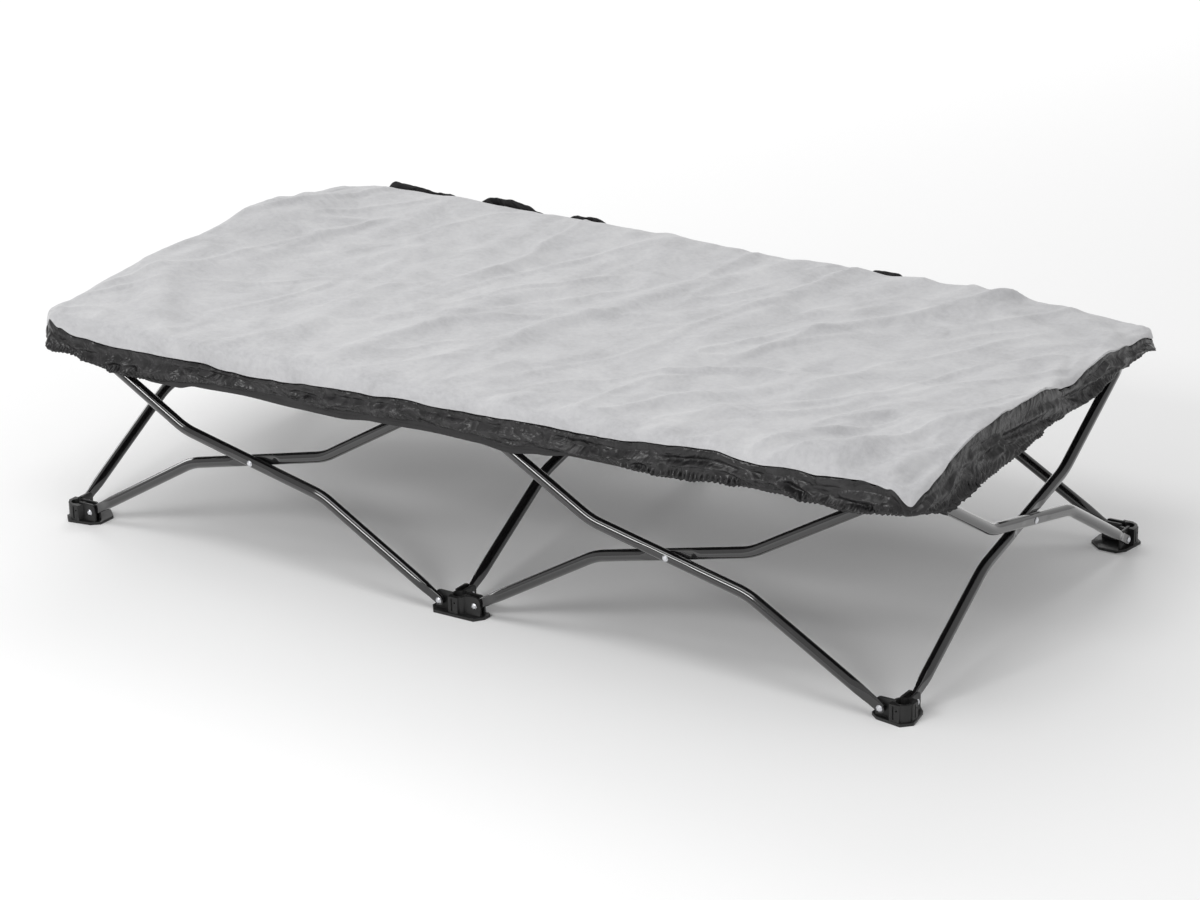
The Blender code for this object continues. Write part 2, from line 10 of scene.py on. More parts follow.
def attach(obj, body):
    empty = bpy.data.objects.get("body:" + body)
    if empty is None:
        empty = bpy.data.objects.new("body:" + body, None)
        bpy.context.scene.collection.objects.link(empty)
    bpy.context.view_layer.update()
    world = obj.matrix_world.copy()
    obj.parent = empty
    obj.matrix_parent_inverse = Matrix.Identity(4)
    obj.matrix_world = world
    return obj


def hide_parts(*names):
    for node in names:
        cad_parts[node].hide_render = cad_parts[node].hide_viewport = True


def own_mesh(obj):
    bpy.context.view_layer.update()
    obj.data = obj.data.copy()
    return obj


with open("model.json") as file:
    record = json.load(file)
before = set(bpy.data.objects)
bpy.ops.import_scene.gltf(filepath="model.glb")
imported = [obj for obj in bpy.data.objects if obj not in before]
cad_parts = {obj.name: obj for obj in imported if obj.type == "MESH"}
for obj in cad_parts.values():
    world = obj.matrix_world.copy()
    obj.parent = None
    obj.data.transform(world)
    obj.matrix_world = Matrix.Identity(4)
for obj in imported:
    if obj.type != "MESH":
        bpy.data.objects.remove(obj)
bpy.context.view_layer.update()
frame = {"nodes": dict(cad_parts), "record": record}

QUARTER = math.pi / 2
BAY = 0.58  # between neighbouring feet, along the bed and across it
HALF = BAY / 2
SIDE_SHIFT = 0.0038  # from the line of the feet out to the plane where a pair of tubes crosses
CENTRE_HEIGHT = 0.1345  # of the crossings
DECK_TOP = 0.2713
FOLD_AT = 0.232  # from the bed's middle line out to where the cloth folds
WELD = 0.00001  # vertices nearer to each other than this are one


# Finishes


def hex_colour(code):
    """An sRGB hex colour as the linear colour that a shader takes."""
    values = [int(code[k : k + 2], 16) / 255 for k in (1, 3, 5)]
    linear = [v / 12.92 if v <= 0.04045 else ((v + 0.055) / 1.055) ** 2.4 for v in values]
    return (*linear, 1.0)


def add(material, kind, settings=None, **inputs):
    """Adds a node to a material; an input is a value or the output of another node."""
    tree = material.node_tree
    node = tree.nodes.new(kind)
    for name, value in (settings or {}).items():
        setattr(node, name, value)
    for name, value in inputs.items():
        key = int(name[1:]) if name[1:].isdigit() else name.replace("_", " ")
        if isinstance(value, bpy.types.NodeSocket):
            tree.links.new(value, node.inputs[key])
        else:
            node.inputs[key].default_value = value
    return node


def finish_named(name, colour, roughness, **sockets):
    """A new material whose shader has the given plain settings."""
    material = bpy.data.materials.new(name)
    material.use_nodes = True
    shader = material.node_tree.nodes["Principled BSDF"]
    shader.inputs["Base Color"].default_value = hex_colour(colour)
    shader.inputs["Roughness"].default_value = roughness
    for key, value in sockets.items():
        shader.inputs[key.replace("_", " ")].default_value = value
    return material, shader


def link(material, output, shader, socket):
    """Feeds a node's output into one of the shader's sockets."""
    material.node_tree.links.new(output, shader.inputs[socket])


def coordinates(material, output="Object"):
    """Where textures are looked up: in the object's space, or on a cloth laid flat."""
    return add(material, "ShaderNodeTexCoord").outputs[output]


def speckle(material, where, scale, detail, **more):
    """The value of a noise texture."""
    node = add(material, "ShaderNodeTexNoise", Vector=where, Scale=scale, Detail=detail, **more)
    return node.outputs["Fac"]


def colour_by(material, factor, shader, stops):
    """Base colour along a factor, from (place, hex colour) stops."""
    node = add(material, "ShaderNodeValToRGB", Fac=factor)
    ramp = node.color_ramp
    while len(ramp.elements) < len(stops):
        ramp.elements.new(1.0)
    for element, (position, colour) in zip(ramp.elements, stops):
        element.position = position
        element.color = hex_colour(colour)
    link(material, node.outputs["Color"], shader, "Base Color")


def roughness_by(material, factor, shader, low, high, **span):
    """Roughness from low to high along a factor."""
    node = add(material, "ShaderNodeMapRange", Value=factor, To_Min=low, To_Max=high, **span)
    link(material, node.outputs["Result"], shader, "Roughness")


def bump(material, height, shader, distance, strength, under=None):
    """Relief from a height; under is the relief that it lies on. Gives the relief itself."""
    node = add(material, "ShaderNodeBump", Height=height, Distance=distance, Strength=strength)
    if under is not None:
        material.node_tree.links.new(under, node.inputs["Normal"])
    link(material, node.outputs["Normal"], shader, "Normal")
    return node.outputs["Normal"]


def tube_enamel():
    """Baked black enamel on steel tube: deep black, glossy, with a faint orange-peel ripple."""
    shine = {"Specular_IOR_Level": 0.6, "Coat_Weight": 0.9, "Coat_Roughness": 0.03}
    material, shader = finish_named("baked_enamel_black", "#0D0C0D", 0.1, **shine)
    where = coordinates(material)
    ripple = speckle(material, where, scale=420.0, detail=2.0)
    bump(material, ripple, shader, 0.0001, 0.25)
    wear = speckle(material, where, scale=60.0, detail=5.0)
    roughness_by(material, wear, shader, 0.07, 0.16, From_Min=0.35, From_Max=0.75)
    return material


def moulded_plastic():
    """Injection-moulded nylon, fine spark-eroded grain: satin black with soft broad highlights."""
    material, shader = finish_named("moulded_nylon_black", "#171717", 0.38)
    where = coordinates(material)
    grain = speckle(material, where, scale=1400.0, detail=3.0)
    low = bump(material, grain, shader, 0.0001, 0.35)
    flow = speckle(material, where, scale=90.0, detail=2.0)
    bump(material, flow, shader, 0.0004, 0.2, under=low)
    roughness_by(material, flow, shader, 0.3, 0.5)
    return material


def zinc_plate():
    """Bright zinc on pressed steel: pale, slightly blue, with a light haze of rubbing."""
    material, shader = finish_named("bright_zinc", "#D9DADE", 0.22, Metallic=1.0)
    haze = speckle(material, coordinates(material), scale=900.0, detail=4.0)
    roughness_by(material, haze, shader, 0.14, 0.38)
    bump(material, haze, shader, 0.0001, 0.2)
    return material


def weave_height(material, where, scale):
    """Plain weave: two crossed rows of threads, each going over and under the other."""
    across, along = (
        add(material, "ShaderNodeTexWave", {"bands_direction": way}, Vector=where, Scale=scale)
        for way in ("X", "Y")
    )
    rows = {"_0": across.outputs["Fac"], "_1": along.outputs["Fac"]}
    return add(material, "ShaderNodeMath", {"operation": "MULTIPLY"}, **rows).outputs["Value"]


def woven_deck():
    """Coated polyester weave, black; drawn with threads 1.2 mm apart, coarser than real."""
    material, shader = finish_named("woven_polyester_black", "#2B2A2B", 0.62)
    where = coordinates(material, "UV")
    low = bump(material, weave_height(material, where, 260.0), shader, 0.0002, 0.5)
    cloud = speckle(material, where, scale=26.0, detail=6.0, Roughness=0.6)
    bump(material, cloud, shader, 0.002, 0.3, under=low)
    colour_by(material, cloud, shader, ((0.3, "#1A191A"), (0.7, "#292829")))
    return material


def skirt_nylon():
    """Thin nylon taffeta: near black, a little shiny, so that each crease has a soft highlight; its
    colour is also painted lighter on the creases' ridges and darker in their valleys, a painted
    highlight and painted shade.
    """
    material, shader = finish_named("nylon_taffeta_black", "#1E1D1E", 0.31, Specular_IOR_Level=0.42)
    where = coordinates(material, "UV")
    low = bump(material, weave_height(material, where, 420.0), shader, 0.0001, 0.08)
    crease = speckle(material, where, scale=36.0, detail=3.0, Roughness=0.45, Distortion=1.8)
    bump(material, crease, shader, 0.009, 0.55, under=low)
    # painted highlight and painted shade: the colour follows the creases' height, lighter on the
    # ridges and darker in the valleys
    colour_by(material, crease, shader, ((0.36, "#121112"), (0.64, "#2B2A2B")))
    return material


def micro_fleece():
    """Brushed polyester microfleece: light grey, matt, short pile lying in soft clouds."""
    pile = {"Sheen_Weight": 0.35, "Sheen_Roughness": 0.6}
    material, shader = finish_named("microfleece_grey", "#B9B9BB", 0.95, **pile)
    where = coordinates(material, "UV")
    cloud = speckle(material, where, scale=14.0, detail=8.0, Roughness=0.68, Distortion=0.6)
    fibre = speckle(material, where, scale=900.0, detail=3.0, Roughness=0.7)
    nap = speckle(material, where, scale=140.0, detail=5.0, Roughness=0.7)
    low = bump(material, fibre, shader, 0.0005, 0.5)
    bump(material, nap, shader, 0.0012, 0.35, under=low)
    kind = {"data_type": "FLOAT"}
    mixed = add(material, "ShaderNodeMix", kind, Factor=0.35, _2=cloud, _3=nap).outputs[0]
    colour_by(material, mixed, shader, ((0.34, "#A8A8AA"), (0.5, "#B9B9BB"), (0.68, "#C7C7C8")))
    return material


FINISH = {
    "tube_black": tube_enamel(),
    "bracket_black": moulded_plastic(),
    "rivet_zinc": zinc_plate(),
    "deck_black": woven_deck(),
    "skirt_black": skirt_nylon(),
    "fleece_grey": micro_fleece(),
}


# Making pieces


def smooth_step(t):
    """0 to 1 with level ends as t goes from 0 to 1."""
    t = min(max(t, 0.0), 1.0)
    return t * t * (3 - 2 * t)


def mix(a, b, t):
    """From a to b as t goes from 0 to 1."""
    return a + (b - a) * t


def wander(*at):
    """Smooth noise, about -1 to 1, at a place in a space of three numbers.

    Callers multiply metres by how closely the noise varies; the last number picks a pattern.
    """
    return noise.noise(Vector(at))


def new_object(name, bm):
    """An object in the scene that takes over a bmesh."""
    mesh = bpy.data.meshes.new(name)
    bm.to_mesh(mesh)
    bm.free()
    obj = bpy.data.objects.new(name, mesh)
    bpy.context.scene.collection.objects.link(obj)
    return obj


def settled(obj):
    """The object's mesh with its modifiers applied, as a bmesh; the object is removed."""
    graph = bpy.context.evaluated_depsgraph_get()
    mesh = bpy.data.meshes.new_from_object(obj.evaluated_get(graph))
    bpy.data.objects.remove(obj, do_unlink=True)
    bm = bmesh.new()
    bm.from_mesh(mesh)
    bpy.data.meshes.remove(mesh)
    return bm


def piece(name, bm, slot, body, smooth_under=None):
    """A finished mesh as a piece that rides on a body and takes its finish from a slot."""
    obj = new_object(name, bm)
    obj.data.materials.append(FINISH[slot])
    obj.data.shade_smooth()
    if smooth_under:
        obj.data.set_sharp_from_angle(angle=math.radians(smooth_under))
    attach(obj, body)
    return obj


def curve_through(points, at):
    """Height at a place, from measured (place, height) points with smooth joins."""
    if at <= points[0][0]:
        return points[0][1]
    for (a, low), (b, high) in zip(points, points[1:]):
        if at <= b:
            return mix(low, high, smooth_step((at - a) / (b - a)))
    return points[-1][1]


def loft(bm, ring, stations, shape):
    """Pulls a closed ring of vertices through stations; shape gives each vertex its place.

    ring is the list of vertices in order, already placed at the first station.
    """
    edges = [bm.edges.get(pair) for pair in zip(ring, ring[1:] + ring[:1])]
    for station in stations:
        pulled = bmesh.ops.extrude_edge_only(bm, edges=edges)["geom"]
        edges = [e for e in pulled if isinstance(e, bmesh.types.BMEdge)]
        fresh = {v for v in pulled if isinstance(v, bmesh.types.BMVert)}
        ring = [
            next(e.other_vert(v) for e in v.link_edges if e.other_vert(v) in fresh) for v in ring
        ]
        for index, vert in enumerate(ring):
            vert.co = shape(station, index)
    return ring


# Tubes, the same path and pressed ends as the solids

TUBE_RADIUS = 0.007
TUBE_SIDES = 28
EAR_REACH = 0.023  # from a foot's centre to the rivet in its ears
HALF_RUN = BAY / 2 - EAR_REACH
HALF_RISE = 0.12
BEND = Vector((-0.1013, 0.0233))  # from the centre rivet to the corner of the bend
BEND_RADIUS = 0.085
TUBE_SHIFT = 0.0044  # from the plane of the crossing to a tube's own centre
TUBE_FACE = TUBE_SHIFT + TUBE_RADIUS
EYE_RADIUS = 0.006  # the pressed ends are round,
EYE_INNER = 0.0017  # between these two faces,
EYE_OUTER = 0.0075
EYE_FLAT = 0.013  # flat this far in from the rivet
EYE_TAPER = 0.042  # and round tube again from here
DENT_FULL = 0.026  # the middle is flat this far out from the rivet
DENT_END = 0.042
DENT_INNER = 0.00015  # its face, from the plane of the crossing
DENT_DEPTH = 0.0006  # on the far face
SMOOTH_TUBE = 40  # degrees under which its faces are shaded as one


def half_path():
    """The tube's line from its centre rivet to its upper end, as a function of distance."""
    end = Vector((-HALF_RUN, HALF_RISE))
    inner = BEND.normalized()
    outer = (end - BEND).normalized()
    turn = inner.angle(outer)
    trim = BEND_RADIUS * math.tan(turn / 2)
    start = BEND.length - trim
    arc = BEND_RADIUS * turn
    side = 1.0 if inner.x * outer.y - inner.y * outer.x > 0 else -1.0
    total = start + arc + (end - BEND).length - trim

    def at(distance):
        if distance <= start:
            return inner * distance, inner
        if distance <= start + arc:
            turned = Matrix.Rotation(side * (distance - start) / BEND_RADIUS, 2)
            across = Vector((-inner.y, inner.x)) * side
            centre = inner * start + across * BEND_RADIUS
            return centre - turned @ across * BEND_RADIUS, turned @ inner
        return end + outer * (distance - total), outer

    return at, start, start + arc, total


def tube_section(distance, total):
    """Half width and the two faces that the tube is pressed between at a distance."""
    dent = 1 - smooth_step((distance - DENT_FULL) / (DENT_END - DENT_FULL))
    press = smooth_step((distance - (total - EYE_TAPER)) / (EYE_TAPER - EYE_FLAT))
    half_width = mix(TUBE_RADIUS, EYE_RADIUS, press)
    if distance > total:
        half_width = math.sqrt(max(EYE_RADIUS**2 - (distance - total) ** 2, 0.0))
    inner = mix(mix(TUBE_SHIFT - TUBE_RADIUS, DENT_INNER, dent), EYE_INNER, press)
    outer = mix(TUBE_FACE - DENT_DEPTH * dent, EYE_OUTER, press)
    return half_width, inner, outer


def tube_bmesh():
    """A tube in its own plane: upper end at -X, centre rivet at the origin, body at -Y."""
    at, bend_start, bend_end, total = half_path()
    steps = [0.0, 0.012, 0.022] + [mix(DENT_FULL, DENT_END, k / 6) for k in range(7)]
    steps += [mix(bend_start, bend_end, k / 12) for k in range(13)]
    steps += [mix(total - EYE_TAPER, total - EYE_FLAT, k / 8) for k in range(9)]
    steps += [total] + [total + EYE_RADIUS * math.sin(QUARTER * k / 5) for k in (1, 2, 3, 4, 4.8)]
    stations = [(-s, s) for s in reversed(steps)] + [(s, s) for s in steps[1:]]

    def shape(station, index):
        signed, distance = station
        point, along = at(distance)
        side = -1.0 if signed > 0 else 1.0
        half_width, inner, outer = tube_section(distance, total)
        angle = 2 * math.pi * (index + 0.5) / TUBE_SIDES
        out = min(max(TUBE_SHIFT + TUBE_RADIUS * math.sin(angle), inner), outer)
        across = Vector((along.y, -along.x)) * half_width * math.cos(angle)
        flat = point * side + across
        return Vector((flat.x, -out, flat.y))

    bm = bmesh.new()
    ring = bmesh.ops.create_circle(bm, segments=TUBE_SIDES, radius=1.0)["verts"]
    ring.sort(key=lambda v: math.atan2(v.co.y, v.co.x))
    for index, vert in enumerate(ring):
        vert.co = shape(stations[0], index)
    first = list(ring)
    last = loft(bm, ring, stations[1:], shape)
    bm.faces.new(first)
    bm.faces.new(last)
    bmesh.ops.recalc_face_normals(bm, faces=bm.faces)
    return bm


SIDE = HALF + SIDE_SHIFT
END = BAY + SIDE_SHIFT
SCISSORS = (
    ("front_left", -HALF, -SIDE, 0.0),
    ("front_right", HALF, -SIDE, 0.0),
    ("right_end", END, 0.0, QUARTER),
    ("back_right", HALF, SIDE, math.pi),
    ("back_left", -HALF, SIDE, math.pi),
    ("left_end", -END, 0.0, -QUARTER),
    ("middle", 0.0, 0.0, QUARTER),
)  # each pair's name, crossing and turn


def make_tubes():
    """Both tubes of every pair, all from one pattern."""
    pattern = tube_bmesh()
    for site, x, y, turn in SCISSORS:
        spot = Matrix.Translation((x, y, CENTRE_HEIGHT))
        for which, extra in (("outer", 0.0), ("inner", math.pi)):
            bm = pattern.copy()
            placed = spot @ Matrix.Rotation(turn + extra, 4, "Z")
            bmesh.ops.transform(bm, matrix=placed, verts=bm.verts)
            name = f"tube_{site}_{which}"
            made = piece(f"enamelled_{name}", bm, "tube_black", name, SMOOTH_TUBE)
            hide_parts(name)
    pattern.free()


# Feet: the solids' mouldings with rounded edges and full plates

PLATE_END = 0.037
PLATE_THICKNESS = 0.0035
PLATE_FILL = (
    (-PLATE_END, 0.0), (0.0, 0.0), (0.0, PLATE_END), (-0.0225, PLATE_END), (-PLATE_END, 0.0205),
)
EDGE_ROUND = 0.0004
EDGE_ANGLE = math.radians(35)  # sharper edges than this are rounded
FLAT_ANGLE = math.radians(1.5)  # flatter ones are dissolved
FEET = (
    ("front_left", -BAY, -HALF, -QUARTER, True),
    ("front_middle", 0.0, -HALF, 0.0, False),
    ("front_right", BAY, -HALF, 0.0, True),
    ("back_left", -BAY, HALF, math.pi, True),
    ("back_middle", 0.0, HALF, math.pi, False),
    ("back_right", BAY, HALF, QUARTER, True),
)  # each foot's name, place and turn, and whether it is at a corner


def plate_fill(spot):
    """The part of a corner foot's plate between its two arms, as thick as the plate."""
    bm = bmesh.new()
    face = bm.faces.new([bm.verts.new((x, y, 0.0)) for x, y in PLATE_FILL])
    grown = bmesh.ops.extrude_face_region(bm, geom=[face])["geom"]
    raised = [v for v in grown if isinstance(v, bmesh.types.BMVert)]
    bmesh.ops.translate(bm, vec=(0, 0, PLATE_THICKNESS), verts=raised)
    bmesh.ops.recalc_face_normals(bm, faces=bm.faces)
    bmesh.ops.transform(bm, matrix=spot, verts=bm.verts)
    return bm


def make_feet():
    """All six feet, with full plates at the corners and edges that catch the light."""
    for site, x, y, turn, is_corner in FEET:
        name = f"foot_{site}"
        bm = bmesh.new()
        bm.from_mesh(frame["nodes"][name].data)
        bmesh.ops.remove_doubles(bm, verts=bm.verts, dist=WELD)
        if is_corner:
            spot = Matrix.Translation((x, y, 0)) @ Matrix.Rotation(turn, 4, "Z")
            fill = new_object("plate_fill", plate_fill(spot))
            whole = new_object("foot_whole", bm)
            union = whole.modifiers.new("union", "BOOLEAN")
            union.operation, union.object = "UNION", fill
            bm = settled(whole)
            bpy.data.objects.remove(fill, do_unlink=True)
            bmesh.ops.remove_doubles(bm, verts=bm.verts, dist=WELD)
        bmesh.ops.dissolve_limit(bm, angle_limit=FLAT_ANGLE, verts=bm.verts, edges=bm.edges)
        made = piece(f"moulded_{name}", bm, "bracket_black", name)
        rounding = made.modifiers.new("rounded_edges", "BEVEL")
        rounding.width = EDGE_ROUND
        rounding.segments = 2
        rounding.limit_method = "ANGLE"
        rounding.angle_limit = EDGE_ANGLE
        rounding.harden_normals = True
        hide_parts(name)


# Cloth. Heights along the front and right sides and along the skyline are measured; the rest is
# like them. Each table holds (place along the side, height) pairs.

SEAM = {
    "front": (
        (-0.5965, 0.257), (-0.585, 0.2695), (-0.572, 0.26), (-0.548, 0.253), (-0.487, 0.25),
        (-0.406, 0.251), (-0.347, 0.253), (-0.308, 0.2495), (-0.27, 0.2485), (-0.231, 0.2505),
        (-0.193, 0.254), (-0.118, 0.257), (-0.053, 0.261), (-0.008, 0.2595), (0.046, 0.2615),
        (0.151, 0.265), (0.219, 0.265), (0.286, 0.271), (0.352, 0.2775), (0.401, 0.2715),
        (0.465, 0.2755), (0.481, 0.2725), (0.512, 0.276), (0.543, 0.279), (0.571, 0.2755),
        (0.602, 0.25),
    ),
    "right": (
        (-0.312, 0.2525), (-0.289, 0.2685), (-0.262, 0.2745), (-0.244, 0.277), (-0.221, 0.29),
        (-0.2, 0.296), (-0.17, 0.299), (-0.14, 0.297), (-0.111, 0.3), (-0.066, 0.296),
        (-0.002, 0.295), (0.025, 0.287), (0.05, 0.279), (0.078, 0.277), (0.119, 0.286),
        (0.16, 0.2895), (0.193, 0.2835), (0.244, 0.2735), (0.27, 0.2725), (0.297, 0.263),
        (0.31, 0.262),
    ),
    "back": (
        (-0.6, 0.264), (-0.54, 0.276), (-0.48, 0.281), (-0.42, 0.278), (-0.36, 0.268),
        (-0.3, 0.279), (-0.24, 0.277), (-0.18, 0.268), (-0.08, 0.266), (0.06, 0.268),
        (0.16, 0.27), (0.2, 0.276), (0.24, 0.27), (0.4, 0.266), (0.52, 0.268), (0.6, 0.262),
    ),
    "left": (
        (-0.306, 0.257), (-0.292, 0.271), (-0.268, 0.262), (-0.18, 0.268), (-0.08, 0.262),
        (0.02, 0.268), (0.12, 0.276), (0.2, 0.272), (0.31, 0.264),
    ),
}  # where the skirt is sewn to the fleece
HEM = {
    "front": (
        (-0.594, 0.228), (-0.552, 0.227), (-0.512, 0.219), (-0.47, 0.214), (-0.431, 0.215),
        (-0.39, 0.2225), (-0.33, 0.2305), (-0.25, 0.2315), (-0.177, 0.2285), (-0.1, 0.233),
        (-0.03, 0.237), (0.03, 0.237), (0.085, 0.232), (0.131, 0.237), (0.2, 0.238),
        (0.251, 0.232), (0.285, 0.232), (0.367, 0.239), (0.4, 0.241), (0.48, 0.239),
        (0.525, 0.2365), (0.558, 0.243), (0.589, 0.246), (0.6, 0.246),
    ),
    "right": (
        (-0.31, 0.246), (-0.295, 0.246), (-0.274, 0.24), (-0.253, 0.233), (-0.232, 0.224),
        (-0.2, 0.229), (-0.148, 0.233), (-0.09, 0.2345), (-0.014, 0.24), (0.032, 0.245),
        (0.079, 0.242), (0.13, 0.241), (0.175, 0.248), (0.2, 0.251), (0.25, 0.253), (0.31, 0.25),
    ),
    "back": (
        (-0.6, 0.24), (-0.5, 0.222), (-0.42, 0.224), (-0.3, 0.233), (-0.1, 0.235), (0.1, 0.234),
        (0.26, 0.231), (0.4, 0.222), (0.5, 0.224), (0.6, 0.25),
    ),
    "left": (
        (-0.31, 0.235), (-0.2, 0.222), (-0.05, 0.226), (0.1, 0.234), (0.22, 0.228), (0.31, 0.24),
    ),
}
CROWN = {
    "left": (
        (-0.31, 0.279), (-0.269, 0.285), (-0.24, 0.2865), (-0.187, 0.2905), (-0.122, 0.296),
        (-0.015, 0.2955), (0.038, 0.2985), (0.098, 0.306), (0.146, 0.3045), (0.201, 0.2995),
        (0.262, 0.2885), (0.31, 0.28),
    ),
    "right": (
        (-0.31, 0.278), (-0.22, 0.292), (-0.14, 0.302), (-0.06, 0.298), (0.03, 0.288),
        (0.2, 0.285), (0.31, 0.277),
    ),
    "back": (
        (-0.6, 0.279), (-0.52, 0.289), (-0.46, 0.288), (-0.4, 0.293), (-0.33, 0.291),
        (-0.28, 0.2865), (-0.2, 0.291), (-0.1, 0.2925), (-0.03, 0.291), (0.03, 0.2875),
        (0.08, 0.285), (0.13, 0.287), (0.2, 0.2845), (0.3, 0.2875), (0.4, 0.29), (0.5, 0.286),
        (0.6, 0.277),
    ),
    "front": (
        (-0.6, 0.277), (-0.5, 0.28), (-0.36, 0.279), (-0.2, 0.284), (0.0, 0.283), (0.2, 0.286),
        (0.36, 0.288), (0.5, 0.296), (0.56, 0.29), (0.6, 0.278),
    ),
}  # the fleece's highest line beside each side
BACK_LIP = (
    (-0.545, 0.26), (-0.512, 0.2915), (-0.48, 0.289), (-0.445, 0.2855), (-0.42, 0.287),
    (-0.4, 0.279), (-0.38, 0.28), (-0.355, 0.2925), (-0.33, 0.2935), (-0.3, 0.29), (-0.28, 0.282),
    (-0.25, 0.277), (-0.22, 0.2875), (-0.19, 0.2875), (-0.165, 0.279), (-0.14, 0.26),
    (0.19, 0.26), (0.22, 0.283), (0.25, 0.283), (0.28, 0.26),
)  # where the skirt stands up behind the fleece
VALANCE_LOW = (
    (-0.6, 0.24), (-0.5, 0.236), (-0.468, 0.22), (-0.431, 0.213), (-0.391, 0.213),
    (-0.365, 0.219), (-0.29, 0.221), (-0.215, 0.219), (-0.15, 0.2185), (-0.102, 0.2235),
    (-0.011, 0.226), (0.043, 0.225), (0.085, 0.221), (0.131, 0.227), (0.17, 0.233), (0.24, 0.233),
    (0.3, 0.24), (0.6, 0.245),
)

PAD_TOP = 0.2815
ROLL = 0.034  # from the seam in to where the fleece lies level
LEFT_ROLL = 0.018  # the left end's roll is tighter
CROWN_REACH = 0.085  # how far in a side's crown is felt
TOP_EASE = 0.305  # above this height the fleece's relief is eased
TOP_EASE_SHARE = 0.65
FLEECE_OUT = 0.0207  # from the hubs' line to the fleece's sewn edge
SEWN_SIDE = HALF + FLEECE_OUT
SEWN_END = BAY + FLEECE_OUT
FLEECE_THICKNESS = 0.0025
SETTLING_FRAMES = 50
SEAM_WAVE, SEAM_WAVE_RIGHT = 0.0013, 0.003
SEAM_WAVES = ((34, 1.0), (88, 0.8), (190, 0.4))  # how close and how strong
FOLD_BROAD, FOLD_FINE = 0.0042, 0.0016  # heights that the drape starts from
PUCKER_REACH = 0.16
PUCKER_CLOSE, PUCKER_BROAD = 0.0015, 0.0052
CREST_LONG, CREST_SHORT, CREST_SOFT = 0.0054, 0.004, 0.0016


def seam_wave(x, y):
    """Small rise and fall of the seam, stronger at the right end."""
    strength = mix(SEAM_WAVE, SEAM_WAVE_RIGHT, smooth_step((x - 0.5) / 0.08))
    return strength * sum(share * wander(x * often, y * often, 5.0) for often, share in SEAM_WAVES)


def seam_height(x, y):
    """Height of the seam beside a point near the rim, blended round the corners."""
    along = curve_through(SEAM["front" if y < 0 else "back"], x)
    across = curve_through(SEAM["right" if x > 0 else "left"], y)
    to_side = SEWN_SIDE - abs(y)
    to_end = SEWN_END - abs(x)
    share = to_end / max(to_side + to_end, 1e-6)
    return mix(across, along, smooth_step(share)) + seam_wave(x, y)


def crown_height(x, y):
    """Height of the pad's top: level in the middle, rising or falling to each edge's crown."""
    height = PAD_TOP
    inward = {"left": BAY + x, "right": BAY - x, "back": HALF - y, "front": HALF + y}
    weights = {
        side: math.exp(-((max(inward[side], 0) / CROWN_REACH) ** 2)) for side in CROWN
    }
    share = max(weights.values()) / max(sum(weights.values()), 1e-9)
    for side, weight in weights.items():
        along = y if side in ("left", "right") else x
        height += (curve_through(CROWN[side], along) - PAD_TOP) * weight * share
    return height


def rounded(x, y):
    """Pulls a point of a rectangle's corner in, so that the corner is an arc about the hub."""
    over_x = max(abs(x) - BAY, 0.0)
    over_y = max(abs(y) - HALF, 0.0)
    if over_x > 0 and over_y > 0:
        squeeze = max(over_x, over_y) / math.hypot(over_x, over_y)
        x = math.copysign(BAY + over_x * squeeze, x)
        y = math.copysign(HALF + over_y * squeeze, y)
    return x, y


def slanted_frame(x, y, degrees):
    """Places across and along folds that run over the bed with a slant."""
    slant = math.radians(degrees)
    across = x * math.cos(slant) - y * math.sin(slant)
    along = x * math.sin(slant) + y * math.cos(slant)
    return across, along


def long_folds(x, y):
    """Ridges that the slack fleece starts from: long, slanting across the bed, and forked."""
    swerve = 0.06 * wander(x * 3, y * 3, 1.7)
    across, along = slanted_frame(x + swerve, y, 18)
    wide = wander(across * 11, along * 3.2, 3.0)
    fine = wander(across * 24 + 5, along * 6.5, 8.0)
    patch = 0.5 + 0.5 * wander(x * 5, y * 5, 31.0)
    broad = FOLD_BROAD * max(1 - abs(wide) * 3.2, 0) ** 2 * patch
    return broad + FOLD_FINE * max(1 - abs(fine) * 3, 0) ** 2 * (1 - patch)


def pad_surface(u, v, lift=0.0):
    """A point of the fleece before it wrinkles, for u and v from -1 to 1."""
    x, y = rounded(u * SEWN_END, v * SEWN_SIDE)
    inward = min(SEWN_END * (1 - abs(u)), SEWN_SIDE * (1 - abs(v)))
    depth = min(inward / mix(ROLL, LEFT_ROLL, smooth_step((-x - 0.545) / 0.035)), 1.0)
    seam, crown = seam_height(x, y), crown_height(x, y) + lift
    steep = max((0.275 - seam) / max(crown - seam, 0.004) - 0.67, 0.0)
    power = min(2.4 + 5.5 * steep + 22 * steep * steep, 6.0)
    return Vector((x, y, mix(seam, crown, max(1 - (1 - depth) ** power, 0.0) ** (1 / power))))


def graded(count, fine, share):
    """Places from -1 to 1, with a share of them packed near both ends."""
    edge = int(count * share)
    middle = count - 2 * edge
    places = [-1 + fine * k / edge for k in range(edge)]
    places += [mix(-1 + fine, 1 - fine, k / middle) for k in range(middle + 1)]
    return places + [-p for p in reversed(places[:edge])]


def flat_grid(us, vs, shape, places=None):
    """A grid with a vertex for each pair of places, put where shape says.

    places, if given, is a dictionary that takes each vertex's pair.
    """
    bm = bmesh.new()
    bmesh.ops.create_grid(bm, x_segments=len(us) - 1, y_segments=len(vs) - 1, size=1.0)
    order = sorted(bm.verts, key=lambda v: (round(v.co.y, 5), round(v.co.x, 5)))
    for index, vert in enumerate(order):
        pair = us[index % len(us)], vs[index // len(us)]
        vert.co = shape(*pair)
        if places is not None:
            places[vert] = pair
    return bm


def under_fleece(u, v):
    """A point of the pad that the fleece is dropped on."""
    return pad_surface(u * 0.994, v * 0.988, -0.0025) - Vector((0, 0, 0.004))


